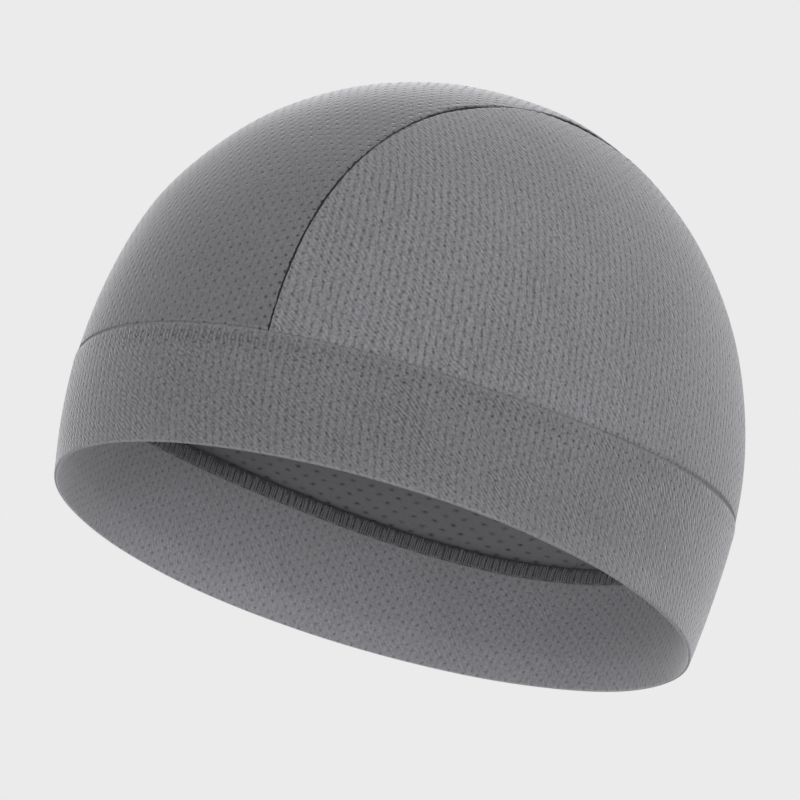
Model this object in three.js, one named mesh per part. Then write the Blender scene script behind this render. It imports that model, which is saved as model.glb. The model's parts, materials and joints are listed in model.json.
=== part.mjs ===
// Helmet liner cap: a thin mesh skull cap in three panels with a folded band.
// Millimetres, +Z up, the wearer faces -Y and the wearer's left is +X.
// Origin: the middle of the head opening, in the plane of the open edge.
import * as THREE from 'three';
import { mergeVertices } from 'three/addons/utils/BufferGeometryUtils.js';

// ---- driving sizes ---------------------------------------------------------
const TILT_DEG = 20.7;        // the open edge leans this far: front high, back low
const HEIGHT = 146.8;         // top of the crown above the plane of the open edge
const SQUARENESS = 1.95;      // 2 would make each level section a true ellipse
const TOP_SET_BACK = 10.5;    // the top of the crown sits this far behind the middle
const CORE_Z = 20;            // height of the point that the shell is measured from

// how far the cap reaches from its middle, a row for each side of the head
const REACH = {
  front: { widest: 99.3, widestAt: 38.1, roundness: 2.26, taper: 5.9 },
  back:  { widest: 103.3, widestAt: 41.1, roundness: 1.92, taper: 5.7 },
  side:  { widest: 82.7, widestAt: 34.0, roundness: 2.07, taper: -4.0 },
};
// height of the seam between band and crown round the head (angle 0 = front)
const BAND_SEAM = { mean: 37.2, front: -5.0, twist: -1.4, wave: 1.5 };
// half width of the centre panel against how far round it is, front -1 to back +1
const PANEL_HALF = { middle: 38.2, slope: -9.4, curve: 5.7, flare: 3.0 };

const CLOTH = 1.2;            // one layer of mesh
const BAND_CLOTH = 2.2;       // the band's two layers
const BAND_PROUD = 0.3;       // the band's face stands this far outside the crown's
const GAP = 0.3;              // left between neighbouring pieces
const STRIP = { width: 5.0, thick: 1.0 };   // overlocked allowance

// mesh fineness: steps along and across each piece
const STEPS = { seam: 40, centreAcross: 12, sideAcross: 11, round: 90, stripAcross: 1 };

// finishes
const FINISH = {
  crown: { color: 0x7a7a7e, roughness: 0.86, metalness: 0 },
  side:  { color: 0x78787c, roughness: 0.86, metalness: 0 },
  band:  { color: 0x6f6f73, roughness: 0.88, metalness: 0 },
  strip: { color: 0x4a4a4e, roughness: 0.92, metalness: 0 },
};

// ---- the shell that every piece follows ------------------------------------
function reach(side, z) {
  const { widest, widestAt, roundness, taper } = REACH[side];
  if (z < widestAt) return widest - taper * ((widestAt - z) / widestAt) ** 2;
  const rise = Math.min((z - widestAt) / (HEIGHT - widestAt), 1);
  return widest * Math.sqrt(Math.max(1 - rise ** roundness, 0));
}
const setBack = (z) => TOP_SET_BACK * THREE.MathUtils.clamp(z / HEIGHT, 0, 1) ** 2;

// below 1 inside the shell, above 1 outside it
function outness(p) {
  if (p.z >= HEIGHT) return 2;
  const y = p.y - setBack(p.z);
  const along = Math.abs(y) / Math.max(reach(y < 0 ? 'front' : 'back', p.z), 1e-6);
  const across = Math.abs(p.x) / Math.max(reach('side', p.z), 1e-6);
  return along ** SQUARENESS + across ** SQUARENESS;
}
const CORE = new THREE.Vector3(0, 0, CORE_Z);
function hit(direction) {
  let near = 0, far = 220;
  const p = new THREE.Vector3();
  for (let i = 0; i < 48; i++) {
    const mid = (near + far) / 2;
    if (outness(p.copy(CORE).addScaledVector(direction, mid)) > 1) far = mid; else near = mid;
  }
  return p.copy(CORE).addScaledVector(direction, (near + far) / 2);
}
// the shell's point and outward normal in a direction from the core
function shell(direction) {
  const d = direction.clone().normalize();
  const helper = Math.abs(d.z) < 0.9 ? new THREE.Vector3(0, 0, 1) : new THREE.Vector3(0, 1, 0);
  const a = new THREE.Vector3().crossVectors(d, helper).normalize();
  const b = new THREE.Vector3().crossVectors(d, a).normalize();
  const e = 0.006;
  const at = (v, k) => hit(d.clone().addScaledVector(v, k).normalize());
  const ta = at(a, e).sub(at(a, -e)), tb = at(b, e).sub(at(b, -e));
  const normal = ta.cross(tb).normalize();
  if (normal.dot(d) < 0) normal.negate();
  return { point: hit(d), normal };
}
const offset = (s, by) => s.point.clone().addScaledVector(s.normal, by);

// the shell's point at an angle round the head and a height
function atHeight(angle, z) {
  const c = Math.cos(angle), s = Math.sin(angle), power = 2 / SQUARENESS;
  const bend = (v) => Math.sign(v) * Math.abs(v) ** power;
  return new THREE.Vector3(reach('side', z) * bend(s),
    -reach(c >= 0 ? 'front' : 'back', z) * bend(c) + setBack(z), z);
}
const bandSeamHeight = (angle) => BAND_SEAM.mean + BAND_SEAM.front * Math.cos(angle)
  + BAND_SEAM.twist * Math.sin(2 * angle) + BAND_SEAM.wave * Math.sin(3 * angle);

// the angle round the head at which atHeight passes over a point
function angleOf(p) {
  const y = p.y - setBack(p.z), power = SQUARENESS / 2;
  const c = -Math.sign(y) * (Math.abs(y) / reach(y < 0 ? 'front' : 'back', p.z)) ** power;
  const s = Math.sign(p.x) * (Math.abs(p.x) / reach('side', p.z)) ** power;
  return Math.atan2(s, c);
}

// a point of the crown at x, in the plane through the core that stands at `round`
// (0 = level towards the front, PI = level towards the back)
function overTop(x, round) {
  let near = 0, far = 220;
  const p = new THREE.Vector3();
  const set = (r) => p.set(x, -Math.cos(round) * r, CORE_Z + Math.sin(round) * r);
  for (let i = 0; i < 48; i++) {
    const mid = (near + far) / 2;
    if (outness(set(mid)) > 1) far = mid; else near = mid;
  }
  return set((near + far) / 2).clone();
}
const panelHalf = (round) => {
  const t = -Math.cos(round);
  return PANEL_HALF.middle + PANEL_HALF.slope * t + PANEL_HALF.curve * t * t + PANEL_HALF.flare * t ** 3;
};
// where, going round at x = share of the panel's half width, the crown meets the band
function meetBand(share, shift, atBack) {
  let low = atBack ? Math.PI / 2 : 0, high = atBack ? Math.PI : Math.PI / 2;
  const above = (round) => {
    const p = overTop(share * panelHalf(round) + shift, round);
    return p.z - bandSeamHeight(angleOf(p)) - GAP / 2 > 0;
  };
  for (let i = 0; i < 44; i++) {
    const mid = (low + high) / 2;
    if (above(mid) === atBack) low = mid; else high = mid;
  }
  return (low + high) / 2;
}

// ---- closed solids from grids ----------------------------------------------
function closedMesh(points, quads) {
  const position = [];
  for (const quad of quads) {
    const [a, b, c, d] = quad.map((i) => points[i]);
    for (const tri of [[a, b, c], [a, c, d]]) for (const v of tri) position.push(v.x, v.y, v.z);
  }
  let g = new THREE.BufferGeometry();
  g.setAttribute('position', new THREE.Float32BufferAttribute(position, 3));
  g = mergeVertices(g, 1e-3);
  const index = [], old = g.getIndex().array;
  for (let i = 0; i < old.length; i += 3) {
    const [a, b, c] = [old[i], old[i + 1], old[i + 2]];
    if (a !== b && b !== c && c !== a) index.push(a, b, c);
  }
  const p = g.getAttribute('position');
  const v = [0, 1, 2].map(() => new THREE.Vector3());
  let volume = 0;
  for (let i = 0; i < index.length; i += 3) {
    v.forEach((w, k) => w.fromBufferAttribute(p, index[i + k]));
    volume += v[0].dot(v[1].clone().cross(v[2])) / 6;
  }
  if (volume < 0) for (let i = 0; i < index.length; i += 3) [index[i], index[i + 1]] = [index[i + 1], index[i]];
  g.setIndex(index);
  g.computeVertexNormals();
  return g;
}
// a curved plate between an outer and an inner grid of the same shape
function plate(outer, inner) {
  const rows = outer.length, cols = outer[0].length;
  const points = [...outer.flat(), ...inner.flat()];
  const o = (i, j) => i * cols + j, n = (i, j) => rows * cols + i * cols + j;
  const quads = [];
  for (let i = 0; i + 1 < rows; i++) for (let j = 0; j + 1 < cols; j++) {
    quads.push([o(i, j), o(i, j + 1), o(i + 1, j + 1), o(i + 1, j)]);
    quads.push([n(i, j), n(i + 1, j), n(i + 1, j + 1), n(i, j + 1)]);
  }
  for (let i = 0; i + 1 < rows; i++) {
    quads.push([o(i, 0), o(i + 1, 0), n(i + 1, 0), n(i, 0)]);
    quads.push([o(i + 1, cols - 1), o(i, cols - 1), n(i, cols - 1), n(i + 1, cols - 1)]);
  }
  for (let j = 0; j + 1 < cols; j++) {
    quads.push([o(0, j + 1), o(0, j), n(0, j), n(0, j + 1)]);
    quads.push([o(rows - 1, j), o(rows - 1, j + 1), n(rows - 1, j + 1), n(rows - 1, j)]);
  }
  return closedMesh(points, quads);
}
// a loop of closed sections, the last joined to the first
function loop(sections) {
  const rows = sections.length, cols = sections[0].length;
  const at = (i, j) => (i % rows) * cols + (j % cols);
  const quads = [];
  for (let i = 0; i < rows; i++) for (let j = 0; j < cols; j++)
    quads.push([at(i, j), at(i, j + 1), at(i + 1, j + 1), at(i + 1, j)]);
  return closedMesh(sections.flat(), quads);
}

// ---- the pieces ------------------------------------------------------------
const count = (n, make) => Array.from({ length: n + 1 }, (_, i) => make(i / n));
const fromCore = (p) => p.clone().sub(CORE);

function centrePanel() {
  const grid = count(STEPS.centreAcross, (k) => {
    const share = -1 + 2 * k, shift = -Math.sign(share) * (Math.abs(share) > 0.999 ? GAP / 2 : 0);
    const front = meetBand(share, shift, false), back = meetBand(share, shift, true);
    return count(STEPS.seam, (t) => {
      const round = front + (back - front) * t;
      return shell(fromCore(overTop(share * panelHalf(round) + shift, round)));
    });
  });
  return plate(grid.map((r) => r.map((s) => s.point)), grid.map((r) => r.map((s) => offset(s, -CLOTH))));
}

// the seam line beside the centre panel, on the wearer's left (+1) or right (-1)
function panelSeam(hand, shift) {
  const front = meetBand(hand, hand * shift, false), back = meetBand(hand, hand * shift, true);
  return (t) => {
    const round = front + (back - front) * t;
    return overTop(hand * (panelHalf(round) + shift), round);
  };
}
function sidePanel(hand) {
  const seam = panelSeam(hand, GAP / 2);
  const from = angleOf(seam(0)) * hand, to = angleOf(seam(1)) * hand;
  const base = (t) => {
    const angle = hand * (from + (to - from) * (0.5 - 0.5 * Math.cos(Math.PI * t)) ** 0.9);
    return atHeight(angle, bandSeamHeight(angle) + GAP / 2);
  };
  const grid = count(STEPS.seam, (t) => {
    const top = fromCore(seam(t)).normalize();
    const bottom = t === 0 ? top : t === 1 ? top : fromCore(base(t)).normalize();
    const swing = top.angleTo(bottom);
    return count(STEPS.sideAcross, (u) => {
      if (swing < 1e-6) return shell(top);
      const k = Math.sin(swing);
      return shell(top.clone().multiplyScalar(Math.sin((1 - u) * swing) / k)
        .addScaledVector(bottom, Math.sin(u * swing) / k));
    });
  });
  return plate(grid.map((r) => r.map((s) => s.point)), grid.map((r) => r.map((s) => offset(s, -CLOTH))));
}

// the band's section: how far out from the shell and how far up, a row for each corner
const BAND_SECTION = [
  { out: BAND_PROUD - 0.5, up: 1, drop: GAP / 2 },
  { out: BAND_PROUD, up: 1, drop: 1.0 },
  { out: BAND_PROUD, up: 0.66, drop: 0 },
  { out: BAND_PROUD, up: 0.33, drop: 0 },
  { out: BAND_PROUD, up: 0, drop: -1.1 },
  { out: BAND_PROUD - 0.4, up: 0, drop: -0.3 },
  { out: BAND_PROUD - 1.1, up: 0, drop: 0 },
  { out: BAND_PROUD - 1.8, up: 0, drop: -0.3 },
  { out: BAND_PROUD - BAND_CLOTH, up: 0, drop: -1.1 },
  { out: BAND_PROUD - BAND_CLOTH, up: 0.4, drop: 0 },
  { out: BAND_PROUD - BAND_CLOTH, up: 1, drop: STRIP.width * 2 },
  { out: BAND_PROUD - BAND_CLOTH, up: 1, drop: STRIP.width },
  { out: BAND_PROUD - BAND_CLOTH, up: 1, drop: STRIP.width / 2 },
  { out: BAND_PROUD - BAND_CLOTH, up: 1, drop: GAP / 2 },
];
function band() {
  return loop(count(STEPS.round, (t) => t).slice(0, -1).map((t) => {
    const angle = 2 * Math.PI * t, top = bandSeamHeight(angle);
    return BAND_SECTION.map(({ out, up, drop }) =>
      offset(shell(fromCore(atHeight(angle, top * up - drop))), out));
  }));
}
function bandOverlock() {
  const outer = BAND_PROUD - BAND_CLOTH - GAP;
  const section = [
    { out: outer, down: 0.4 }, { out: outer, down: STRIP.width },
    { out: outer - STRIP.thick, down: STRIP.width }, { out: outer - STRIP.thick, down: 0.4 },
  ];
  return loop(count(STEPS.round, (t) => t).slice(0, -1).map((t) => {
    const angle = 2 * Math.PI * t, top = bandSeamHeight(angle);
    return section.map(({ out, down }) => offset(shell(fromCore(atHeight(angle, top - down))), out));
  }));
}
// the allowance lies under the centre panel, from the seam line inwards
function crownSeam(hand) {
  const seam = panelSeam(hand, 0);
  const trim = 0.022;
  const lines = count(STEPS.stripAcross, (k) => count(STEPS.seam, (t) => {
    const s = trim + (1 - 2 * trim) * t, here = shell(fromCore(seam(s)));
    const ahead = seam(Math.min(s + 0.01, 1)).sub(seam(Math.max(s - 0.01, 0))).normalize();
    const aside = ahead.clone().cross(here.normal).normalize();
    if (aside.x * hand > 0) aside.negate();
    return shell(fromCore(here.point.clone().addScaledVector(aside, STRIP.width * k)));
  }));
  const outer = -(CLOTH + GAP);
  return plate(lines.map((l) => l.map((s) => offset(s, outer))),
    lines.map((l) => l.map((s) => offset(s, outer - STRIP.thick))));
}

// ---- the cap ---------------------------------------------------------------
const cap = new THREE.Group();
const worn = new THREE.Group();
worn.rotation.x = THREE.MathUtils.degToRad(-TILT_DEG);
cap.add(worn);
function add(name, geometry, finish) {
  geometry.deleteAttribute('normal');
  const mesh = new THREE.Mesh(geometry, new THREE.MeshStandardMaterial({ ...finish, name }));
  mesh.name = name;
  worn.add(mesh);
}
add('centre_panel', centrePanel(), FINISH.crown);
add('side_panel_left', sidePanel(+1), FINISH.side);
add('side_panel_right', sidePanel(-1), FINISH.side);
add('band', band(), FINISH.band);
add('band_overlock', bandOverlock(), FINISH.strip);
add('crown_seam_left', crownSeam(+1), FINISH.strip);
add('crown_seam_right', crownSeam(-1), FINISH.strip);

export default cap;
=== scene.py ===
# Helmet liner cap: the looks of the thin mesh skull cap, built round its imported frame.
import json
import math
import numpy as np
import bpy
from mathutils import Matrix, Vector

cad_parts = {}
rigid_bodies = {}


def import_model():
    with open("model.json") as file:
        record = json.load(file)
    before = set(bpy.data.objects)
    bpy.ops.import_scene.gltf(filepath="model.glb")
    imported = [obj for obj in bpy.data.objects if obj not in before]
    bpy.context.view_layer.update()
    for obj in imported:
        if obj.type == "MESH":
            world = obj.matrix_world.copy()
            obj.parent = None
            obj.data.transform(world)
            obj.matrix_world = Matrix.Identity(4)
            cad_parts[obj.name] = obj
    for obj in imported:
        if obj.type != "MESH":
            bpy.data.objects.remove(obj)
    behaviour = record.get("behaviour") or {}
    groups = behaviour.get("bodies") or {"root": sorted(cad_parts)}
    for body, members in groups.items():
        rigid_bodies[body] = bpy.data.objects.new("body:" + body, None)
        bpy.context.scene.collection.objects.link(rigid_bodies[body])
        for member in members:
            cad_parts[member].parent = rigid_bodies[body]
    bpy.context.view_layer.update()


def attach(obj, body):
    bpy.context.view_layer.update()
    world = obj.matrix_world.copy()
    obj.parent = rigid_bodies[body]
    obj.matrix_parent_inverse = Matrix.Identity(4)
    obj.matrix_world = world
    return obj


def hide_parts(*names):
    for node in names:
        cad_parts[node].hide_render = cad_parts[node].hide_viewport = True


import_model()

# ---- the shell, with the same driving sizes as the CAD, in millimetres ---------
TILT = math.radians(20.7)
HEIGHT, SQUARE, TOP_SET_BACK, CORE_Z = 146.8, 1.95, 10.5, 20.0
REACH = {  # widest, at what height, roundness, taper
    "front": (99.3, 38.1, 2.26, 5.9),
    "back": (103.3, 41.1, 1.92, 5.7),
    "side": (82.7, 34.0, 2.07, -4.0),
}
SEAM = dict(mean=37.2, front=-5.0, twist=-1.4, wave=1.5)
PANEL = dict(middle=38.2, slope=-9.4, curve=5.7, flare=3.0)
CLOTH, BAND_CLOTH, PROUD, GAP = 1.2, 2.2, 0.3, 0.3
STRIP = 5.0
TOUCH = 0.03  # half of what shows between two sewn edges
CORE = np.array([0.0, 0.0, CORE_Z])

# the knit: columns of pores side by side, and the pitch of the pores along a column
COLUMN, PITCH = 2.0, 3.5
BAND_COLUMNS, BAND_PITCHES = 256, 12.0
FOLD_HALF, FOLD_PITCHES = 0.5, 0.5  # half of the pressed fold's thickness


def reach(side, z):
    widest, at, roundness, taper = REACH[side]
    rise = np.clip((z - at) / (HEIGHT - at), 0, 1)
    return np.where(z < at, widest - taper * ((at - z) / at) ** 2, widest * np.sqrt(np.maximum(1 - rise ** roundness, 0)))


def set_back(z):
    return TOP_SET_BACK * np.clip(z / HEIGHT, 0, 1) ** 2


def outness(p):
    z = p[..., 2]
    y = p[..., 1] - set_back(z)
    along = np.abs(y) / np.maximum(np.where(y < 0, reach("front", z), reach("back", z)), 1e-6)
    across = np.abs(p[..., 0]) / np.maximum(reach("side", z), 1e-6)
    return np.where(z >= HEIGHT, 2.0, along ** SQUARE + across ** SQUARE)


def hit(d, origin=CORE):
    """Where rays from the core meet the shell."""
    near, far = np.zeros(d.shape[:-1]), np.full(d.shape[:-1], 220.0)
    for _ in range(34):
        mid = (near + far) / 2
        out = outness(origin + d * mid[..., None]) > 1
        far, near = np.where(out, mid, far), np.where(out, near, mid)
    return origin + d * ((near + far) / 2)[..., None]


def unit(v):
    return v / np.maximum(np.linalg.norm(v, axis=-1, keepdims=True), 1e-12)


def shell(toward):
    """Point and outward normal of the shell in a direction from the core."""
    d = unit(toward)
    helper = np.where((np.abs(d[..., 2]) < 0.9)[..., None], [0.0, 0.0, 1.0], [0.0, 1.0, 0.0])
    a = unit(np.cross(d, helper))
    b = unit(np.cross(d, a))
    e = 0.006
    at = lambda v, k: hit(unit(d + v * k))
    n = unit(np.cross(at(a, e) - at(a, -e), at(b, e) - at(b, -e)))
    return hit(d), np.where((np.sum(n * d, -1) < 0)[..., None], -n, n)


def at_height(angle, z):
    c, s = np.cos(angle), np.sin(angle)
    bend = lambda v: np.sign(v) * np.abs(v) ** (2 / SQUARE)
    return np.stack([reach("side", z) * bend(s), -np.where(c >= 0, reach("front", z), reach("back", z)) * bend(c) + set_back(z), z + 0 * s], -1)


def seam_height(a):
    return SEAM["mean"] + SEAM["front"] * np.cos(a) + SEAM["twist"] * np.sin(2 * a) + SEAM["wave"] * np.sin(3 * a)


def angle_of(p):
    y, z = p[..., 1] - set_back(p[..., 2]), p[..., 2]
    c = -np.sign(y) * (np.abs(y) / np.where(y < 0, reach("front", z), reach("back", z))) ** (SQUARE / 2)
    s = np.sign(p[..., 0]) * (np.abs(p[..., 0]) / reach("side", z)) ** (SQUARE / 2)
    return np.arctan2(s, c)


def over_top(x, rnd):
    """Points of the crown at x, in the plane through the core that stands at rnd."""
    x, rnd = np.broadcast_arrays(np.asarray(x, float), np.asarray(rnd, float))
    near, far = np.zeros(x.shape), np.full(x.shape, 220.0)
    at = lambda r: np.stack([x, -np.cos(rnd) * r, CORE_Z + np.sin(rnd) * r], -1)
    for _ in range(34):
        mid = (near + far) / 2
        out = outness(at(mid)) > 1
        far, near = np.where(out, mid, far), np.where(out, near, mid)
    return at((near + far) / 2)


def panel_half(rnd):
    t = -np.cos(rnd)
    return PANEL["middle"] + PANEL["slope"] * t + PANEL["curve"] * t * t + PANEL["flare"] * t ** 3


def meet_band(share, shift, at_back, lift=TOUCH):
    share, shift = np.broadcast_arrays(np.asarray(share, float), np.asarray(shift, float))
    low, high = (np.full(share.shape, math.pi / 2), np.full(share.shape, math.pi)) if at_back else (np.zeros(share.shape), np.full(share.shape, math.pi / 2))
    for _ in range(34):
        mid = (low + high) / 2
        p = over_top(share * panel_half(mid) + shift, mid)
        above = p[..., 2] - seam_height(angle_of(p)) - lift > 0
        up = above == at_back
        low, high = np.where(up, mid, low), np.where(up, high, mid)
    return (low + high) / 2


def to_world(p):
    """Worn: the open edge leans, high at the front; metres."""
    c, s = math.cos(TILT), math.sin(TILT)
    return np.stack([p[..., 0], p[..., 1] * c + p[..., 2] * s, -p[..., 1] * s + p[..., 2] * c], -1) * 0.001


# ---- small tools ---------------------------------------------------------------
def waves(x, y, length, seed, n=9):
    """Smooth noise of about unit height from sine waves near one wavelength."""
    r = np.random.default_rng(seed)
    total = np.zeros(np.broadcast(x, y).shape)
    for _ in range(n):
        a, k, p = r.uniform(0, 2 * math.pi), 2 * math.pi / (length * r.uniform(0.7, 1.5)), r.uniform(0, 2 * math.pi)
        total = total + np.sin(k * (math.cos(a) * x + math.sin(a) * y) + p)
    return total / math.sqrt(n / 2)


def flatten(P, start, rounds=1500):
    """Lays a curved grid flat with each edge near its own length: the cut of the cloth."""
    rows, cols = P.shape[:2]
    idx = np.arange(rows * cols).reshape(rows, cols)
    X, p = start.reshape(-1, 2).copy(), P.reshape(-1, 3)
    pairs = []
    for di, dj in ((0, 1), (1, 0), (1, 1), (1, -1), (0, 2), (2, 0)):
        a = idx[: rows - di, max(0, -dj): cols - max(0, dj)]
        b = idx[di:, max(0, dj): cols + min(0, dj)]
        pairs.append(np.stack([a.ravel(), b.ravel()], 1))
    E = np.concatenate(pairs)
    L = np.linalg.norm(p[E[:, 0]] - p[E[:, 1]], axis=1)
    E, L = E[L > 1e-3], L[L > 1e-3]
    n = np.bincount(E.ravel(), minlength=len(X)).astype(float)
    for _ in range(rounds):
        d = X[E[:, 0]] - X[E[:, 1]]
        mid = (X[E[:, 0]] + X[E[:, 1]]) / 2
        half = d * (L / np.maximum(np.linalg.norm(d, axis=1), 1e-9) / 2)[:, None]
        S = np.zeros_like(X)
        for k in (0, 1):
            S[:, k] = np.bincount(E[:, 0], mid[:, k] + half[:, k], len(X)) + np.bincount(E[:, 1], mid[:, k] - half[:, k], len(X))
        X = S / np.maximum(n, 1)[:, None]
    return X.reshape(rows, cols, 2)


def resample(A, rows, cols):
    """Bilinear resampling of a grid."""
    i, j = np.linspace(0, A.shape[0] - 1, rows), np.linspace(0, A.shape[1] - 1, cols)
    i0, j0 = np.minimum(i.astype(int), A.shape[0] - 2), np.minimum(j.astype(int), A.shape[1] - 2)
    fi, fj = (i - i0)[:, None, None], (j - j0)[None, :, None]
    g = lambda a, b: A[np.ix_(a, b)]
    return (g(i0, j0) * (1 - fi) * (1 - fj) + g(i0 + 1, j0) * fi * (1 - fj) + g(i0, j0 + 1) * (1 - fi) * fj + g(i0 + 1, j0 + 1) * fi * fj)


def flat_area(X):
    a, b, c, d = X[:-1, :-1], X[1:, :-1], X[1:, 1:], X[:-1, 1:]
    cross = lambda u, v: u[..., 0] * v[..., 1] - u[..., 1] * v[..., 0]
    return float(np.abs(cross(c - a, d - b)).sum() / 2)


def pore(u, v, rx=0.2, ry=0.17):
    """1 at the middle of a pore and 0 away from it, in cells of the knit."""
    i = np.round(u)
    fy = v + 0.5 * i
    fy = fy - np.round(fy)
    return np.exp(-(((u - i) / rx) ** 2 + (fy / ry) ** 2))


class Soup:
    """Collects grids and patches of faces for one mesh."""

    def __init__(self):
        self.v, self.f, self.uv, self.m, self.edge, self.count = [], [], [], [], [], 0

    def grid(self, P, UV, edge, mat=0, wrap=False, flip=False, mats=None):
        rows, cols = P.shape[:2]
        start = self.count
        keep = rows - 1 if wrap else rows
        self.v.append(P[:keep].reshape(-1, 3))
        self.edge.append(edge[:keep].ravel())
        self.count += keep * cols
        ids = start + (np.arange(rows)[:, None] % keep) * cols + np.arange(cols)[None]
        quad = np.stack([ids[:-1, :-1], ids[:-1, 1:], ids[1:, 1:], ids[1:, :-1]], -1).reshape(-1, 4)
        q = np.stack([UV[:-1, :-1], UV[:-1, 1:], UV[1:, 1:], UV[1:, :-1]], -2).reshape(-1, 4, 2)
        if flip:
            quad, q = quad[:, ::-1], q[:, ::-1]
        self.add(quad, q, mat)
        if mats is not None:
            self.m[-1] = mats.ravel().astype(int)
        return ids

    def add(self, faces, uv, mat):
        self.f.append(np.asarray(faces))
        self.uv.append(np.asarray(uv, float))
        self.m.append(np.full(len(faces), mat))

    def rim(self, fine, coarse, uv_fine, mat, flip=False):
        """Joins a fine border to one with half as many steps."""
        tris, uvs = [], []
        for k in range(len(coarse) - 1):
            a, b, c = fine[2 * k], fine[2 * k + 1], fine[2 * k + 2]
            A, B = coarse[k], coarse[k + 1]
            ua, ub, uc = uv_fine[2 * k], uv_fine[2 * k + 1], uv_fine[2 * k + 2]
            for t, u in (((a, b, A), (ua, ub, ua)), ((b, B, A), (ub, uc, ua)), ((b, c, B), (ub, uc, uc))):
                tris.append(t[::-1] if flip else t)
                uvs.append(u[::-1] if flip else u)
        self.add(np.array(tris), np.array(uvs), mat)

    def build(self, name, materials, body="root"):
        V = to_world(np.concatenate(self.v))
        me = bpy.data.meshes.new(name)
        me.vertices.add(len(V))
        me.vertices.foreach_set("co", V.astype(np.float32).ravel())
        sizes = np.concatenate([np.full(len(f), f.shape[1]) for f in self.f])
        loops = np.concatenate([f.ravel() for f in self.f])
        me.loops.add(len(loops))
        me.loops.foreach_set("vertex_index", loops.astype(np.int32))
        me.polygons.add(len(sizes))
        me.polygons.foreach_set("loop_start", np.r_[0, np.cumsum(sizes)[:-1]].astype(np.int32))
        me.polygons.foreach_set("material_index", np.concatenate(self.m).astype(np.int32))
        me.polygons.foreach_set("use_smooth", np.ones(len(sizes), bool))
        me.update(calc_edges=True)
        me.validate()
        layer = me.uv_layers.new(name="Cloth")
        layer.uv.foreach_set("vector", np.concatenate([u.reshape(-1, 2) for u in self.uv]).astype(np.float32).ravel())
        at = me.attributes.new("edge", "FLOAT", "POINT")
        at.data.foreach_set("value", np.concatenate(self.edge).astype(np.float32))
        for m in materials:
            me.materials.append(m)
        o = bpy.data.objects.new(name, me)
        bpy.context.scene.collection.objects.link(o)
        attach(o, body)
        return o


# ---- materials -----------------------------------------------------------------
class Nodes:
    def __init__(self, name):
        self.mat = bpy.data.materials.new(name)
        self.mat.use_nodes = True
        self.t = self.mat.node_tree
        self.bsdf = self.t.nodes["Principled BSDF"]

    def new(self, kind, **props):
        n = self.t.nodes.new(kind)
        for k, v in props.items():
            setattr(n, k, v)
        return n

    def put(self, socket, value):
        if isinstance(value, bpy.types.NodeSocket):
            self.t.links.new(value, socket)
        elif value is not None:
            socket.default_value = value

    def math(self, op, a, b=None, c=None, clamp=False):
        n = self.new("ShaderNodeMath", operation=op, use_clamp=clamp)
        for s, v in zip(n.inputs, (a, b, c)):
            self.put(s, v)
        return n.outputs[0]

    def add(self, a, b): return self.math("ADD", a, b)
    def mul(self, a, b): return self.math("MULTIPLY", a, b)
    def sub(self, a, b): return self.math("SUBTRACT", a, b)

    def gauss(self, d2):
        return self.math("EXPONENT", self.mul(d2, -1.0))

    def noise(self, vector, scale, detail=2.0, rough=0.5):
        n = self.new("ShaderNodeTexNoise")
        self.put(n.inputs["Vector"], vector)
        n.inputs["Scale"].default_value = scale
        n.inputs["Detail"].default_value = detail
        n.inputs["Roughness"].default_value = rough
        return n.outputs["Fac"]

    def mix(self, fac, a, b):
        n = self.new("ShaderNodeMix", data_type="RGBA")
        self.put(n.inputs["Factor"], fac)
        self.put(n.inputs["A"], a)
        self.put(n.inputs["B"], b)
        return n.outputs["Result"]


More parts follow.
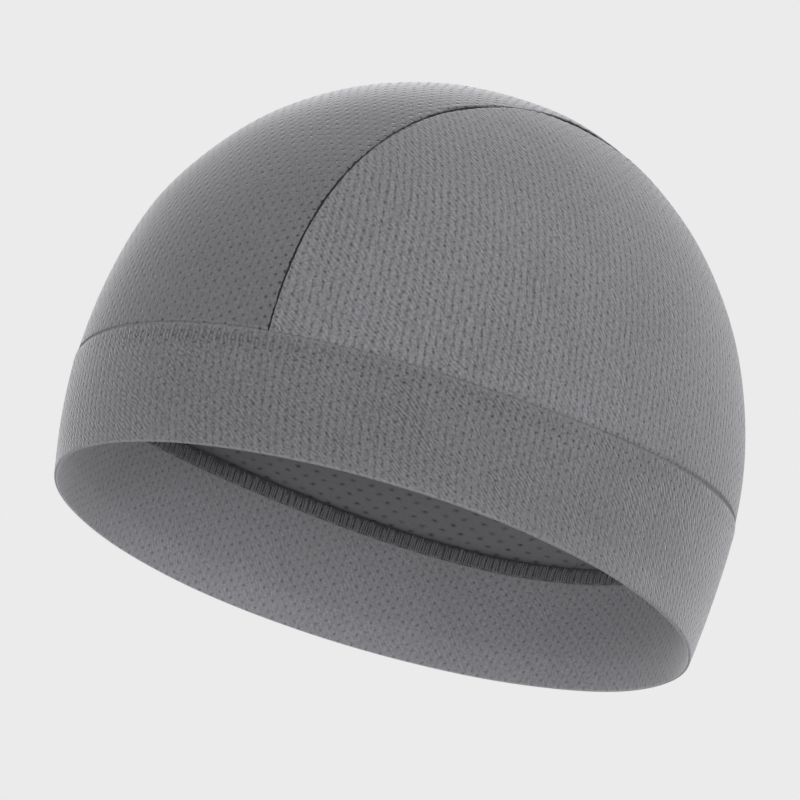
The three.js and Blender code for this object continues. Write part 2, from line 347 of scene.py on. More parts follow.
def knit(name, light, dark, pore_shade, rx=0.16, ry=0.11, pores=0.5, ribs=0.5, twill=0.3, grain=0.8, bump=0.2, seam=None, sheen=1.0, scale=1.0):
    """Mesh knit from the cloth's own cells: wales, slanting loops and staggered pores.
    seam: "panel" for the piece with the allowance, "plain" for its neighbour, "band" for gathers under the top."""
    N = Nodes(name)
    uv = N.new("ShaderNodeUVMap", uv_map="Cloth").outputs[0]
    sep = N.new("ShaderNodeSeparateXYZ")
    N.put(sep.inputs[0], uv)
    geo = N.new("ShaderNodeNewGeometry").outputs["Position"]
    # the yarns never lie quite straight
    x = N.add(N.mul(sep.outputs[0], 1 / scale), N.mul(N.sub(N.noise(geo, 330.0, 1.0), 0.5), 0.10))
    y = N.add(N.mul(sep.outputs[1], 1 / scale), N.mul(N.sub(N.noise(geo, 410.0, 1.0), 0.5), 0.10))
    i = N.math("ROUND", x)
    fx = N.sub(x, i)
    yy = N.add(y, N.mul(i, 0.5))
    j = N.math("ROUND", yy)
    fy = N.sub(yy, j)
    sq = lambda a, r: N.math("POWER", N.math("ABSOLUTE", N.math("DIVIDE", a, r)), 2.0)
    hole_at = N.gauss(N.add(sq(fx, rx), sq(fy, ry)))
    cell = N.new("ShaderNodeCombineXYZ")
    N.put(cell.inputs[0], i)
    N.put(cell.inputs[1], j)
    chance = N.new("ShaderNodeTexWhiteNoise", noise_dimensions="2D")
    N.put(chance.inputs["Vector"], cell.outputs[0])
    hole_here = N.mul(hole_at, N.math("MULTIPLY_ADD", chance.outputs["Value"], 0.6 * pores, 0.7 * pores))
    # the loops show as fine waves over the cells: along the wales, leaning over them and across them
    drift = N.mul(N.sub(N.noise(uv, 0.55, 1.0), 0.5), 2.2)
    wave = lambda u, v, off=0.0: N.math("COSINE", N.mul(N.add(N.add(N.mul(x, u), N.mul(y, v)), off), 2 * math.pi))
    here = N.math("MULTIPLY_ADD", N.noise(uv, 0.16, 1.0), 3.0, -1.0, clamp=True)
    often = N.math("MULTIPLY_ADD", N.noise(uv, 0.9, 1.0), 2.4, -0.5, clamp=True)
    wales = N.mul(wave(1.0, 0.0), -0.16 * ribs)
    lean = N.mul(N.mul(N.add(wave(1.25, 0.5, drift), wave(2.25, 0.5, drift)), N.mul(here, often)), -0.22 * ribs)
    slant = N.mul(N.mul(N.mul(wave(1.45, 1.9, drift), often), N.sub(1.2, here)), 0.34 * twill)
    loops = N.add(wales, N.add(lean, slant))
    fibre = N.sub(N.noise(geo, 1350.0, 2.0, 0.65), 0.5)
    patch = N.sub(N.noise(geo, 260.0, 2.0), 0.5)
    broad = N.sub(N.noise(geo, 28.0, 2.0), 0.5)
    tone = N.add(N.mul(fibre, 1.6 * grain), N.add(N.mul(patch, 0.10 * grain), N.mul(broad, 0.25)))
    tone = N.math("ADD", N.add(tone, loops), 0.54, clamp=True)
    edge = N.new("ShaderNodeAttribute", attribute_name="edge").outputs["Fac"]
    shadow = None
    if seam == "panel":                      # pores painted darker where the allowance lies behind the cloth: painted shade seen through them
        near = N.math("MULTIPLY_ADD", edge, -1 / 5.5, 1.0, clamp=True)
        hole_here = N.mul(hole_here, N.math("MULTIPLY_ADD", near, 1.3, 1.0))
    if seam in ("panel", "plain"):           # painted shadow in the needle holes and the sunken seam itself
        speck = N.math("MULTIPLY_ADD", N.noise(geo, 1100.0, 1.0), 9.0, -5.2, clamp=True)
        speck = N.mul(speck, N.math("MULTIPLY_ADD", edge, -1 / 1.4, 1.0, clamp=True))
        wide = N.math("MULTIPLY_ADD", N.noise(geo, 700.0, 1.0), 0.7, 0.02)
        shadow = N.math("MULTIPLY_ADD", N.sub(wide, edge), 6.0, 0.5, clamp=True)
        shadow = N.math("MAXIMUM", N.mul(shadow, 0.93), N.mul(speck, 0.5))
    if seam == "band":                       # painted shadow in the gathers one wale apart under the seam, strongest over the brow
        pull = N.math("MULTIPLY_ADD", N.math("COSINE", N.add(N.mul(sep.outputs[0], 4 * math.pi), N.mul(N.noise(uv, 0.9, 1.0), 5.0))), 0.9, -0.05, clamp=True)
        pull = N.mul(pull, N.gauss(sq(N.sub(edge, 3.5), 1.9)))
        brow = N.math("MULTIPLY_ADD", N.gauss(sq(N.sub(sep.outputs[0], 141.0), 15.0)), 0.9, 0.12)
        brow = N.mul(brow, N.math("MULTIPLY_ADD", N.noise(uv, 0.3, 1.0), 2.0, 0.1, clamp=True))
        shadow = N.mul(N.mul(pull, brow), 0.8)
        # pores painted darker a few millimetres under the seam, where the allowance lies behind: painted shade
        hole_here = N.mul(hole_here, N.math("MULTIPLY_ADD", N.gauss(sq(N.sub(edge, 5.0), 2.2)), 0.55, 1.0))
        # lighter towards the open edge: painted highlight
        tone = N.math("ADD", tone, N.mul(N.gauss(sq(N.sub(edge, 37.0), 7.0)), 0.16), clamp=True)
    colour = N.mix(tone, (*dark, 1), (*light, 1))
    # the pores take the near-black pore colour: painted shade
    colour = N.mix(N.math("MINIMUM", hole_here, 0.9), colour, (*pore_shade, 1))
    height = N.sub(N.add(N.mul(fibre, 0.7), N.mul(loops, 1.2)), N.mul(hole_here, 0.9))
    if shadow is not None:
        # painted shadow in the seam's groove, its needle holes and the gathers' folds
        colour = N.mix(shadow, colour, (0.012, 0.012, 0.014, 1))
        height = N.sub(height, N.mul(shadow, 0.8))
    N.put(N.bsdf.inputs["Base Color"], colour)
    b = N.new("ShaderNodeBump")
    b.inputs["Strength"].default_value = 1.0
    b.inputs["Distance"].default_value = bump * 0.001
    N.put(b.inputs["Height"], height)
    N.put(N.bsdf.inputs["Normal"], b.outputs[0])
    N.bsdf.inputs["Roughness"].default_value = 0.88
    N.bsdf.inputs["Specular IOR Level"].default_value = 0.15
    N.bsdf.inputs["Sheen Weight"].default_value = sheen
    N.bsdf.inputs["Sheen Roughness"].default_value = 0.42
    N.bsdf.inputs["Sheen Tint"].default_value = (0.97, 0.97, 1.0, 1.0)
    return N.mat


def thread(name, light, dark):
    """Twisted sewing thread: fine slanting plies along the strand."""
    N = Nodes(name)
    uv = N.new("ShaderNodeUVMap", uv_map="Cloth").outputs[0]
    sep = N.new("ShaderNodeSeparateXYZ")
    N.put(sep.inputs[0], uv)
    ply = N.math("MULTIPLY_ADD", N.math("COSINE", N.mul(N.add(N.mul(sep.outputs[1], 3.0), sep.outputs[0]), 2 * math.pi)), 0.5, 0.5)
    geo = N.new("ShaderNodeNewGeometry").outputs["Position"]
    tone = N.math("ADD", N.mul(ply, 0.4), N.mul(N.noise(geo, 900.0, 2.0, 0.7), 0.6), clamp=True)
    N.put(N.bsdf.inputs["Base Color"], N.mix(tone, (*dark, 1), (*light, 1)))
    b = N.new("ShaderNodeBump")
    b.inputs["Distance"].default_value = 0.00012
    N.put(b.inputs["Height"], ply)
    N.put(N.bsdf.inputs["Normal"], b.outputs[0])
    N.bsdf.inputs["Roughness"].default_value = 0.8
    N.bsdf.inputs["Specular IOR Level"].default_value = 0.2
    N.bsdf.inputs["Sheen Weight"].default_value = 0.3
    N.bsdf.inputs["Sheen Roughness"].default_value = 0.4
    return N.mat


def grey(level, blue=1.06):
    return (level, level, level * blue)


# the pores painted near black: painted shade of the hollow seen through the knit
PORE_SHADE = grey(0.02)
CENTRE = dict(pores=0.76, ribs=0.25, twill=0.3, grain=0.85, seam="panel")
SIDE = dict(pores=0.58, ribs=0.62, twill=0.6, grain=0.95, seam="plain")
BAND = dict(pores=0.62, ribs=0.5, twill=0.8, grain=1.0, seam="band")
# the outer faces are one cloth: the centre panel's darker base colour and the side panels' lighter one stand in for the
# light falling on each, painted shade and light
M_centre = knit("centre_face", grey(0.128), grey(0.055), PORE_SHADE, sheen=0.65, **CENTRE)
M_side = knit("side_face", grey(0.182), grey(0.064), PORE_SHADE, sheen=0.5, **SIDE)
M_band = knit("band_face", grey(0.148), grey(0.053), PORE_SHADE, sheen=0.65, **BAND)
# the same cloth where it is rounded over an edge, its sheen cut and its base colour lifted to stand in for it: painted
# sheen; the fold's copy is painted lighter against the shade at the open edge
M_centre_edge = knit("centre_face_edge", grey(0.150), grey(0.068), PORE_SHADE, sheen=0.05, **CENTRE)
M_side_edge = knit("side_face_edge", grey(0.175), grey(0.072), PORE_SHADE, sheen=0.05, **SIDE)
M_band_edge = knit("band_face_edge", grey(0.160), grey(0.075), PORE_SHADE, sheen=0.05, pores=0.4, ribs=0.3, twill=0.4, grain=0.7)
M_band_fold = knit("band_fold", grey(0.210), grey(0.105), PORE_SHADE, sheen=0.3, pores=0.4, ribs=0.3, twill=0.4, grain=0.7)
# the inner faces painted far lighter than the outer ones, standing in for light reaching into the hollow: painted light
M_inside_painted_light = knit("crown_inner_face_painted_light", grey(0.268), grey(0.182), grey(0.03), rx=0.27, ry=0.085, pores=0.66, ribs=0.08, twill=0.0, grain=0.5, bump=0.12, sheen=0.6, scale=1.4)
M_band_in_painted_light = knit("band_inner_face_painted_light", grey(0.415), grey(0.198), grey(0.08), rx=0.19, ry=0.13, pores=0.5, ribs=0.25, twill=0.35, grain=0.8, sheen=0.8)
M_strip = knit("allowance", grey(0.140), grey(0.070), grey(0.02), ribs=0.4, bump=0.2, sheen=0.3)
M_thread = thread("overlock_thread", grey(0.350), grey(0.150))
M_cord = thread("overlock_cord", grey(0.370), grey(0.180))


# ---- crown panels --------------------------------------------------------------
def relief(UV, d_seam, d_band, seed):
    """Height over the shell: rolled edges, puckers at the seams, pores, slack."""
    x, y = UV[..., 0] * 2, UV[..., 1] * 3.5
    h = -0.30 * np.exp(-(d_seam / 0.5) ** 2) - 0.07 * np.exp(-(d_band / 0.8) ** 2)
    h = h + 0.06 * np.exp(-(d_seam / 2.4) ** 2) * waves(x, y, 3.4, seed)
    h = h + 0.10 * waves(x, y, 42.0, seed + 1)
    h = h - 0.08 * pore(UV[..., 0], UV[..., 1])
    h = h + 0.02 * (0.5 - 0.5 * np.cos(4 * math.pi * UV[..., 0]))
    return h


CELL_TERMS = ((1, 0), (0, 1), (2, 0), (1, 1), (0, 2), (3, 0), (2, 1), (1, 2), (0, 3))
CELL_U = (22.665, 3.152, 0.587, -0.372, -1.107, -0.149, -0.631, 0.708, 0.626)
CELL_V = (-1.401, 19.278, -0.039, -0.306, -4.052, 0.137, -0.003, -0.041, 0.851)


def side_cells(P, hand):
    """Cells of the knit on a side panel, from the lengths along it and up it: the wales run up and lean forward a little."""
    z = P[..., 2]
    round_ = angle_of(P) * hand
    a = math.pi / 2 + (round_ - math.pi / 2)[..., None] * np.linspace(0, 1, 17)
    ring = at_height(a, np.broadcast_to(z[..., None], a.shape))
    level = np.linalg.norm(np.diff(ring, axis=-2), axis=-1).sum(-1) * np.sign(round_ - math.pi / 2)
    zs = np.linspace(20, HEIGHT - 0.5, 600)
    rise = {k: np.interp(z, zs, np.r_[0, np.cumsum(np.hypot(np.diff(zs), np.diff(reach(k, zs))))]) for k in REACH}
    w = np.sin(round_) ** 2
    up = w * rise["side"] + (1 - w) * np.where(np.cos(round_) > 0, rise["front"], rise["back"])
    x, y = level / 50, up / 50
    total = lambda c: sum(k * x ** m * y ** n for k, (m, n) in zip(c, CELL_TERMS))
    return np.stack([total(CELL_U), total(CELL_V)], -1)


def jitter(U, V, seed):
    return (U + 0.05 * waves(U * 2, V * 3.5, 14.0, seed) + 0.025 * waves(U * 2, V * 3.5, 5.0, seed + 1),
            V + 0.05 * waves(U * 2, V * 3.5, 16.0, seed + 2) + 0.025 * waves(U * 2, V * 3.5, 6.0, seed + 3))


def panel(name, P, n, X, d_seam, d_band, seed, face, rounded):
    """A closed cloth wall from a grid on the shell; the inner side has half the steps."""
    U, V = jitter(X[..., 0], X[..., 1], seed)
    UV = np.stack([U, V], -1)
    outer = P + n * relief(UV, d_seam, d_band, seed)[..., None]
    step = (slice(None, None, 2), slice(None, None, 2))
    roll = -0.35 * np.exp(-(np.minimum(d_seam, d_band) / 0.9) ** 2)
    inner = (P + n * (-CLOTH + 0.05 + 0.10 * waves(UV[..., 0] * 2, UV[..., 1] * 3.5, 42.0, seed + 1) + roll * 0.3)[..., None])[step]
    s = Soup()
    edge = np.minimum(d_seam, 99.0)
    # rows run along the seam and columns across; faces point out
    mid = (P.shape[0] // 2, P.shape[1] // 2)
    a, b = P[mid[0] + 1, mid[1]] - P[mid], P[mid[0], mid[1] + 1] - P[mid]
    out = np.dot(np.cross(b, a), n[mid]) > 0
    near = np.minimum(d_seam, d_band)
    # faces within 0.62 mm of a seam take the edge copy, whose lifted base colour is painted sheen
    at_edge = np.minimum(near[:-1, :-1], near[1:, 1:]) < 0.62
    o = s.grid(outer, UV, edge, 0, flip=not out, mats=np.where(at_edge, 2, 0))
    i = s.grid(inner, UV[step], edge[step], 1, flip=bool(out))
    s.rim(o[0], i[0], UV[0], 2, flip=bool(out))
    s.rim(o[-1], i[-1], UV[-1], 2, flip=not out)
    s.rim(o[:, 0], i[:, 0], UV[:, 0], 2, flip=not out)
    s.rim(o[:, -1], i[:, -1], UV[:, -1], 2, flip=bool(out))
    return s.build(name, [face, M_inside_painted_light, rounded])


def arc(P, axis):
    d = np.linalg.norm(np.diff(P, axis=axis), axis=-1)
    pad = np.zeros_like(np.take(d, [0], axis))
    return np.concatenate([pad, np.cumsum(d, axis)], axis)


def centre_grid(rows, cols):
    share = np.linspace(-1, 1, cols)
    shift = -np.sign(share) * (np.abs(share) > 0.999) * TOUCH
    front, back = meet_band(share, shift, False), meet_band(share, shift, True)
    rnd = front + (back - front) * np.linspace(0, 1, rows)[:, None]
    return over_top(share * panel_half(rnd) + shift, rnd)


def side_grid(hand, rows, cols):
    """Rows along the panel seam from front to back, columns from it down to the band."""
    ends = 0.0006
    f, b = meet_band(hand, hand * TOUCH, False), meet_band(hand, hand * TOUCH, True)
    t = ends + (1 - 2 * ends) * np.linspace(0, 1, rows)
    rnd = f + (b - f) * t
    seam = over_top(hand * (panel_half(rnd) + TOUCH), rnd)
    ends_at = over_top(hand * (panel_half(np.array([f, b])) + TOUCH), np.array([f, b]))
    a0, a1 = angle_of(ends_at) * hand
    angle = hand * (a0 + (a1 - a0) * (0.5 - 0.5 * np.cos(math.pi * t)) ** 0.9)
    base = at_height(angle, seam_height(angle) + TOUCH)
    A, B = unit(seam - CORE)[:, None], unit(base - CORE)[:, None]
    u = np.linspace(0, 1, cols)[None, :, None]
    swing = np.arccos(np.clip(np.sum(A * B, -1, keepdims=True), -1, 1))
    d = (A * np.sin((1 - u) * swing) + B * np.sin(u * swing)) / np.sin(np.maximum(swing, 1e-6))
    return hit(unit(d))


def cut(kind, coarse):
    """The panel laid flat, its wales along y, and its flat size."""
    if kind == "centre":
        mid = coarse.shape[1] // 2
        v = arc(coarse, 0)[:, mid]
        u = arc(coarse, 1)
        u = u - u[:, mid][:, None]
        start = np.stack([u, np.broadcast_to(v[:, None], u.shape)], -1)
    else:
        start = np.stack([coarse[..., 1] * 1.1, coarse[..., 2] - 0.9 * np.abs(coarse[..., 0])], -1)
    X = flatten(coarse, start)
    # turn the sheet so that its wales follow the panel's own upright at its middle
    i, j = X.shape[0] // 2, X.shape[1] // 2
    d = X[i + 3, j] - X[i - 3, j] if kind == "centre" else X[i, j - 2] - X[i, j + 2]
    turn = math.atan2(d[0], d[1])
    c, s = math.cos(turn), math.sin(turn)
    X = np.stack([X[..., 0] * c - X[..., 1] * s, X[..., 0] * s + X[..., 1] * c], -1)
    X = X - X[i, j]
    size = np.ptp(X.reshape(-1, 2), axis=0)
    return X, size, flat_area(X)


flat_sizes = {}


def make_centre():
    rows, cols = 441, 161
    P = centre_grid(rows, cols)
    P, n = shell(P - CORE)
    X, size, area = cut("centre", centre_grid(61, 17))
    X = resample(X, rows, cols)
    across = arc(P, 1)
    along = arc(P, 0)
    d_seam = np.minimum(across, across[:, -1:] - across)
    d_band = np.minimum(along, along[-1:] - along)
    o = panel("centre_panel_cloth", P, n, X / np.array([COLUMN, PITCH]), d_seam, d_band, 21, M_centre, M_centre_edge)
    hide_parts("centre_panel")
    flat_sizes["centre"] = (size, area)


def make_side(hand, name):
    rows, cols = 381, 161
    P = side_grid(hand, rows, cols)
    P, n = shell(P - CORE)
    _, size, area = cut("side", side_grid(hand, 61, 21))
    X = side_cells(P, hand)
    down = arc(P, 1)
    o = panel(f"side_panel_{name}_cloth", P, n, X, down, down[:, -1:] - down, 31 if hand > 0 else 41, M_side, M_side_edge)
    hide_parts(f"side_panel_{name}")
    flat_sizes[name] = (size, area)


make_centre()
make_side(+1, "left")
make_side(-1, "right")


# ---- the band: one strip folded at the open edge, two layers of cloth --------------
def even_angles(n):
    """Angles round the head at equal steps of length, the first at the back."""
    a = np.linspace(-math.pi, math.pi, 8193)
    p = at_height(a, np.full(a.shape, 18.0))
    s = np.r_[0, np.cumsum(np.linalg.norm(np.diff(p, axis=0), axis=1))]
    return np.interp(np.arange(n + 1) / n * s[-1], s, a)


def band_piece():
    n_round = BAND_COLUMNS * 3
    a = even_angles(n_round)
    top = seam_height(a) - TOUCH
    FACE, FOLD = 47, 6
    col = np.arange(n_round + 1) / 3.0
    # section points: (out, height, v, edge, material)
    t = np.linspace(1, 0, FACE + 1)
    rows = []
    low = FOLD_HALF
    bulge = lambda d: 0.08 * np.exp(-((d - 1.8) / 1.8) ** 2) - 0.15 * np.exp(-(d / 0.8) ** 2)
    half_at = lambda z: FOLD_HALF + (BAND_CLOTH / 2 - FOLD_HALF) * np.clip((z - low) / 9, 0, 1) ** 0.8
    for k in t:                                   # outer face, seam to fold
        z = low + (top - low) * k
        d = top - z
        rows.append((PROUD + bulge(d), z, BAND_PITCHES * k + 0 * d, d, 0))
    for k in np.linspace(0, 1, FOLD + 2)[1:-1]:   # the fold
        w = math.pi * k
        rows.append((PROUD - FOLD_HALF + FOLD_HALF * math.cos(w) + 0 * a, low - low * math.sin(w) + 0 * a, -FOLD_PITCHES * k + 0 * a, top - 0, 0 if k < 0.5 else 1))
    for k in t[::-1]:                             # inner face, fold to seam
        z = low + (top - low) * k
        rows.append((PROUD - 2 * half_at(z), z, -FOLD_PITCHES - BAND_PITCHES * k + 0 * a, top - z, 1))
    # the hidden faces between the two layers
    for k in (1.0, 0.5, 0.04):
        z = low + 0.5 + (top - low - 0.5) * k
        rows.append((PROUD - half_at(z) - 0.06, z, -FOLD_PITCHES - BAND_PITCHES * k + 0 * a, top - z, 1))
    for k in (0.04, 0.5, 1.0):
        z = low + 0.5 + (top - low - 0.5) * k
        rows.append((PROUD - half_at(z) + 0.06, z, BAND_PITCHES * k + 0 * a, top - z, 0))
    rows.append(rows[0])
    out = np.stack([r[0] for r in rows], 1)
    z = np.stack([r[1] for r in rows], 1)
    V = np.stack([r[2] for r in rows], 1)
    edge = np.stack([np.broadcast_to(r[3], a.shape) for r in rows], 1)
    mat = np.array([r[4] for r in rows])
    look = mat.copy()
    look[:1] = 2                                  # the rounded top, in the edge copy with painted sheen
    look[FACE:FACE + (FOLD + 2) // 2] = 3         # the outer half of the fold, painted lighter against its shade
    n_face = FACE + 1
    P, nrm = shell(at_height(a[:, None], z) - CORE)
    U = np.broadcast_to(col[:, None], V.shape)
    # jitter that closes round the loop
    ph = U / BAND_COLUMNS * 2 * math.pi
    Uj = U + 0.05 * np.sin(17 * ph + 1.1 * np.sin(3 * V)) + 0.03 * np.sin(41 * ph + V)
    Vj = V + 0.05 * np.sin(23 * ph + 2) + 0.03 * np.sin(57 * ph + 0.7 * V)
    on_fold = np.exp(-((V + FOLD_PITCHES / 2) / 1.3) ** 2)
    h = -0.10 * pore(U, V, 0.24, 0.2) * (1 - 0.9 * on_fold)
    d = edge
    # gathers where the seam pulls the band in, stronger in some stretches than in others
    some = 0.55 + 0.45 * np.sin(2.0 * ph + 0.4) * np.cos(5 * ph)
    h = h + 0.05 * some * np.exp(-((d - 1.9) / 1.1) ** 2) * np.cos(2 * math.pi * U)
    h = h + 0.06 * np.exp(-(d / 6.0) ** 2) * np.sin(31 * ph + 1.3)
    slack = 0.16 * (np.sin(7 * ph + 0.5) * np.sin(V * 0.3) + 0.7 * np.sin(13 * ph + V * 0.25))
    hidden = np.zeros(len(rows), bool)
    hidden[2 * n_face + FOLD:-1] = True
    sign = np.where(mat == 1, -1.0, 1.0)[None]
    offset = out + np.where(hidden[None], 0, h * sign) + slack * 0.6
    P = P + nrm * offset[..., None]
    s = Soup()
    UV = np.stack([Uj, Vj], -1)
    rows_n = P.shape[0]
    # grid rows go round the head and columns round the section; the section closes on itself
    keep, m = rows_n - 1, len(rows) - 1
    s.v.append(P[:keep, :m].reshape(-1, 3))
    s.edge.append(d[:keep, :m].ravel())
    s.count += keep * m
    i, j = np.arange(rows_n)[:, None] % keep, np.arange(m + 1)[None] % m
    ids = i * m + j
    for which in (0, 1, 2, 3):
        js = np.where(look[:-1] == which)[0]
        quad = np.stack([ids[:-1][:, js], ids[:-1][:, js + 1], ids[1:][:, js + 1], ids[1:][:, js]], -1).reshape(-1, 4)
        q = np.stack([UV[:-1][:, js], UV[:-1][:, js + 1], UV[1:][:, js + 1], UV[1:][:, js]], -2).reshape(-1, 4, 2)
        s.add(quad, q, which)
    return s.build("band_cloth", [M_band, M_band_in_painted_light, M_band_edge, M_band_fold])


band = band_piece()
import bmesh
bm = bmesh.new()
bm.from_mesh(band.data)
if bm.calc_volume(signed=True) < 0:
    bmesh.ops.reverse_faces(bm, faces=bm.faces)
    bm.to_mesh(band.data)
bm.free()
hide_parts("band")


# ---- overlocked allowances ---------------------------------------------------------
def tubes(paths, radius, sides, s, mat=0, closed=False):
    """Round strands along many paths of the same number of points; radius may vary along them."""
    n, m = paths.shape[:2]
    if closed:
        tangent = np.roll(paths, -1, 1) - np.roll(paths, 1, 1)
    else:
        tangent = np.gradient(paths, axis=1)
    tangent = unit(tangent)
    ref = unit(paths - CORE)
    side = unit(np.cross(tangent, ref))
    up = np.cross(side, tangent)
    w = np.arange(sides) / sides * 2 * math.pi
    r = np.broadcast_to(np.asarray(radius, float), (n, m))[..., None, None]
    ring = paths[:, :, None] + r * (np.cos(w)[:, None] * side[:, :, None] + np.sin(w)[:, None] * up[:, :, None])
    start = s.count
    s.v.append(ring.reshape(-1, 3))
    s.edge.append(np.zeros(n * m * sides))
    s.count += n * m * sides
    ids = start + np.arange(n * m * sides).reshape(n, m, sides)
    last = m if closed else m - 1
    i, k = np.arange(last), np.arange(sides)
    a = ids[:, i][:, :, k]
    b = ids[:, (i + 1) % m][:, :, k]
    c = ids[:, (i + 1) % m][:, :, (k + 1) % sides]
    d = ids[:, i][:, :, (k + 1) % sides]
    quad = np.stack([a, d, c, b], -1).reshape(-1, 4)
    vv = np.broadcast_to(np.arange(last)[None, :, None] * 0.5, a.shape)
    uu = np.broadcast_to(k[None, None] / sides, a.shape)
    q = np.stack([np.stack([uu, vv], -1), np.stack([uu + 1 / sides, vv], -1), np.stack([uu + 1 / sides, vv + 0.5], -1), np.stack([uu, vv + 0.5], -1)], -2).reshape(-1, 4, 2)
    s.add(quad, q, mat)
    if not closed:
        for end, ring_ids in ((0, ids[:, 0]), (1, ids[:, -1])):
            poly = ring_ids if end == 0 else ring_ids[:, ::-1]
            s.add(poly, np.zeros((n, sides, 2)), mat)


def overlock(name, out, down, n_threads, closed, seed, strip_rows, first=0.12):
    """down(t, d, out) is the point at t along the seam, d millimetres down the allowance, `out` outside the shell."""
    r = np.random.default_rng(seed)
    s = Soup()
    # the cut cloth edges under the threads
    t = np.linspace(0, 1, strip_rows + 1)
    ds = [first, 1.4, 2.8, 4.0, STRIP + 0.3]
    body_in, body_out = [], []
    for d in ds:
        wob = 0.12 * np.sin(2 * math.pi * t * round(n_threads / 9) + d)
        body_out.append(down(t, np.full(t.shape, d), out - 0.12 + 0 * wob))
        body_in.append(down(t, np.full(t.shape, d), out - 0.72 + wob))
    sec = np.stack(body_out + body_in[::-1] + [body_out[0]], 1)
    m = sec.shape[1] - 1
    keep = strip_rows if closed else strip_rows + 1
    s.v.append(sec[:keep, :m].reshape(-1, 3))
    s.edge.append(np.full(keep * m, 9.0))
    s.count += keep * m
    ids = (np.arange(strip_rows + 1)[:, None] % keep) * m + (np.arange(m + 1)[None] % m)
    quad = np.stack([ids[:-1, :-1], ids[:-1, 1:], ids[1:, 1:], ids[1:, :-1]], -1).reshape(-1, 4)
    uu = np.broadcast_to((t * n_threads / 3)[:, None], (strip_rows + 1, m + 1))
    vv = np.broadcast_to(np.linspace(0, 4, m + 1)[None], uu.shape)
    G = np.stack([uu, vv], -1)
    s.add(quad, np.stack([G[:-1, :-1], G[:-1, 1:], G[1:, 1:], G[1:, :-1]], -2).reshape(-1, 4, 2), 0)
    if not closed:
        s.add(ids[0, :m][None], np.zeros((1, m, 2)), 0)
        s.add(ids[-1, :m][::-1][None], np.zeros((1, m, 2)), 0)
    # threads over the edge, in little groups
    k = np.arange(n_threads)
    group = (k // 3) * 3 + 1
    tt = (group + (k - group) * 0.84 + 0.5 + r.uniform(-0.14, 0.14, n_threads)) / n_threads
    lean = r.uniform(-0.25, 0.25, n_threads) / n_threads
    prof = np.array([0.15, 0.7, 1.6, 2.6, 3.6, 4.5, 5.0, 5.1])
    lift = np.array([-0.45, -0.85, -0.95, -0.98, -0.95, -0.85, -0.6, -0.1])
    top_off = r.uniform(-0.1, 1.5, n_threads)
    T = tt[:, None] + lean[:, None] * np.linspace(-1, 1, len(prof))[None]
    D = prof[None] + top_off[:, None] * np.linspace(1, 0, len(prof))[None]
    O = out + lift[None] + r.uniform(-0.08, 0.08, n_threads)[:, None]
    T = np.mod(T, 1.0) if closed else np.clip(T, 0, 1)
    paths = down(T, D, O)
    rad = r.uniform(0.15, 0.21, n_threads)[:, None] * np.array([0.8, 1.1, 1.2, 1.15, 1, 0.8, 0.65, 0.5])[None]
    tubes(paths, rad, 5, s, 1)
    # the chain of loops along the free edge
    q = n_threads * 3
    t2 = (np.arange(q) / q) if closed else np.linspace(0, 1, q)
    for phase in (0, math.pi):
        w = 2 * math.pi * t2 * (n_threads / 2) + phase
        dd = STRIP + 0.05 + 0.16 * np.sin(w)
        oo = out - 0.35 - 0.24 * np.cos(w)
        tubes(down(t2, dd, oo)[None], 0.21, 5, s, 2, closed=closed)
    return s.build(name, [M_strip, M_thread, M_cord])


def band_down(t, d, out):
    a = np.interp(np.mod(t, 1.0), np.linspace(0, 1, 2049), even_angles(2048))
    z = seam_height(a) - d
    P, n = shell(at_height(a, z) - CORE)
    return P + n * np.asarray(out)[..., None]


strip = overlock("band_overlock_threads", PROUD - BAND_CLOTH - GAP, band_down, 762, True, 51, 384)
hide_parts("band_overlock")
perimeter = float(np.linalg.norm(np.diff(at_height(even_angles(720), np.full(721, 18.0)), axis=0), axis=1).sum())
band_cut = (perimeter / 1000, 2 * SEAM["mean"] / 1000)
flat_sizes["band"] = (np.array(band_cut) * 1000, band_cut[0] * band_cut[1] * 1e6)


def crown_down(hand):
    f, b = meet_band(hand, 0.0, False), meet_band(hand, 0.0, True)
    trim = 0.022

    def down(t, d, out):
        t, d, out = np.broadcast_arrays(t, d, out)
        at = lambda u: over_top(hand * panel_half(f + (b - f) * u), f + (b - f) * u)
        u = trim + (1 - 2 * trim) * t
        here, n = shell(at(u) - CORE)
        ahead = unit(at(np.clip(u + 0.01, 0, 1)) - at(np.clip(u - 0.01, 0, 1)))
        aside = unit(np.cross(ahead, n))
        aside = np.where((aside[..., :1] * hand > 0), -aside, aside)
        P, n2 = shell(here + aside * d[..., None] - CORE)
        return P + n2 * out[..., None]
    return down


for hand, name in ((1, "left"), (-1, "right")):
    o = overlock(f"crown_seam_{name}_threads", -(CLOTH + GAP), crown_down(hand), 300, False, 61 + hand, 150, first=-0.5)
    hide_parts(f"crown_seam_{name}")

# normals out on the allowances
for o in list(bpy.context.scene.objects):
    if o.name.endswith("_threads"):
        bm = bmesh.new()
        bm.from_mesh(o.data)
        bmesh.ops.recalc_face_normals(bm, faces=bm.faces)
        bm.to_mesh(o.data)
        bm.free()


# ---- the stage: pale floor, soft light ------------------------------------------------
FLOOR_Z = -0.096
bm = bmesh.new()
bmesh.ops.create_circle(bm, cap_ends=True, segments=96, radius=0.9, matrix=Matrix.Translation((0, 0, FLOOR_Z)))
me = bpy.data.meshes.new("floor")
bm.to_mesh(me)
bm.free()
floor = bpy.data.objects.new("floor", me)
bpy.context.scene.collection.objects.link(floor)
F = Nodes("floor_paint")
F.bsdf.inputs["Base Color"].default_value = (0.84, 0.84, 0.84, 1)
F.bsdf.inputs["Roughness"].default_value = 1.0
F.bsdf.inputs["Specular IOR Level"].default_value = 0.0
me.materials.append(F.mat)

world = bpy.data.worlds.new("studio")
bpy.context.scene.world = world
world.use_nodes = True
bg = world.node_tree.nodes["Background"]
bg.inputs[0].default_value = (0.83, 0.83, 0.83, 1)
bg.inputs[1].default_value = 1.0


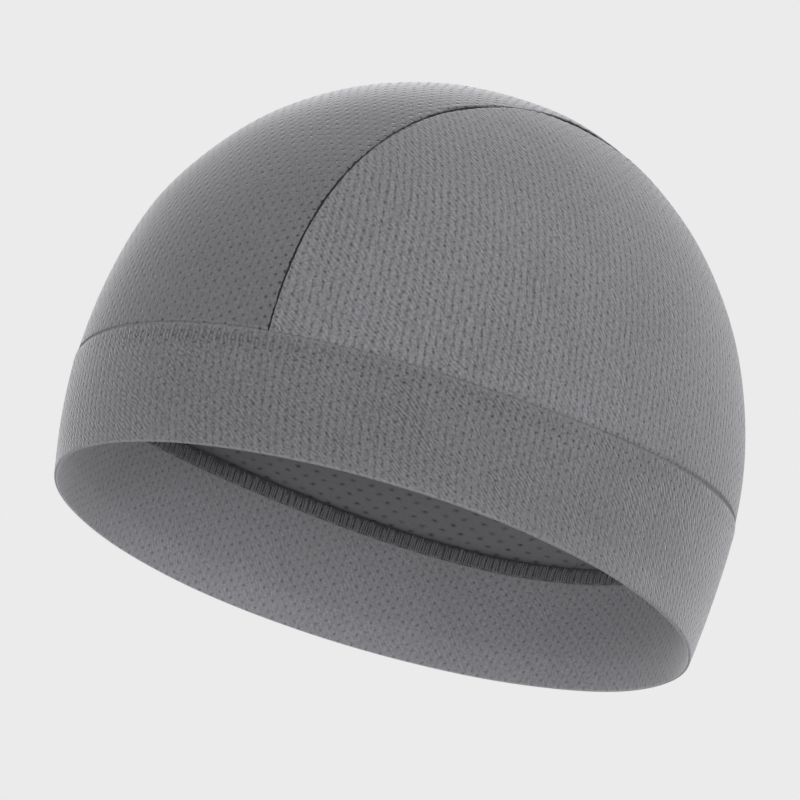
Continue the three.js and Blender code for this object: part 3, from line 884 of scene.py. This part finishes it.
def sun(name, azimuth, elevation, strength, spread):
    light = bpy.data.lights.new(name, "SUN")
    light.energy = strength
    light.angle = math.radians(spread)
    o = bpy.data.objects.new(name, light)
    a, e = math.radians(azimuth), math.radians(elevation)
    back = Vector((math.sin(a) * math.cos(e), -math.cos(a) * math.cos(e), math.sin(e)))
    o.rotation_mode = "QUATERNION"
    o.rotation_quaternion = (-back).to_track_quat("-Z", "Y")
    bpy.context.scene.collection.objects.link(o)


sun("key", 110, 2, 1.2, 40)
sun("front", 60, 18, 0.9, 40)
sun("low", 35, -4, 0.5, 12)
sun("left", -40, 15, 0.55, 25)
sun("right", 150, 0, 0.3, 25)
sun("behind", 240, 30, 0.4, 30)

# ---- the camera: the fit of the photo's outline and seams, aimed at the frame's middle -----
AZ, EL, ROLL, DIST, F_PX, CX, CY = math.radians(59.9996), math.radians(-18.5227), math.radians(15.4951), 1055.2616, 3689.2453, 421.7454, 375.9339
back = np.array([math.sin(AZ) * math.cos(EL), -math.cos(AZ) * math.cos(EL), math.sin(EL)])
right = np.array([math.cos(AZ), math.sin(AZ), 0.0])
up = np.cross(back, right)
R, U = math.cos(ROLL) * right + math.sin(ROLL) * up, -math.sin(ROLL) * right + math.cos(ROLL) * up
eye = np.array([0, 0, 60.0]) + back * DIST
aim = unit(-back + R * (400 - CX) / F_PX - U * (400 - CY) / F_PX)
turn = lambda v: (to_world(v) * 1000)
aim_w, up_w, eye_w = turn(aim), turn(U), turn(eye) / 1000
right_w = unit(np.cross(aim_w, up_w))
up_w = np.cross(right_w, aim_w)
cam_data = bpy.data.cameras.new("camera")
cam = bpy.data.objects.new("camera", cam_data)
cam.matrix_world = Matrix([[right_w[k], up_w[k], -aim_w[k], eye_w[k]] for k in range(3)] + [[0, 0, 0, 1]])
cam_data.sensor_width = 36.0
cam_data.lens = 36.0 * F_PX / 800.0
cam_data.clip_start, cam_data.clip_end = 0.05, 60.0
bpy.context.scene.collection.objects.link(cam)
bpy.context.scene.camera = cam
bpy.context.scene.view_settings.view_transform = "Standard"

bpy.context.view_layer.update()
print("flat sizes mm", {k: [round(float(x), 1) for x in v[0]] + [round(v[1])] for k, v in flat_sizes.items()})
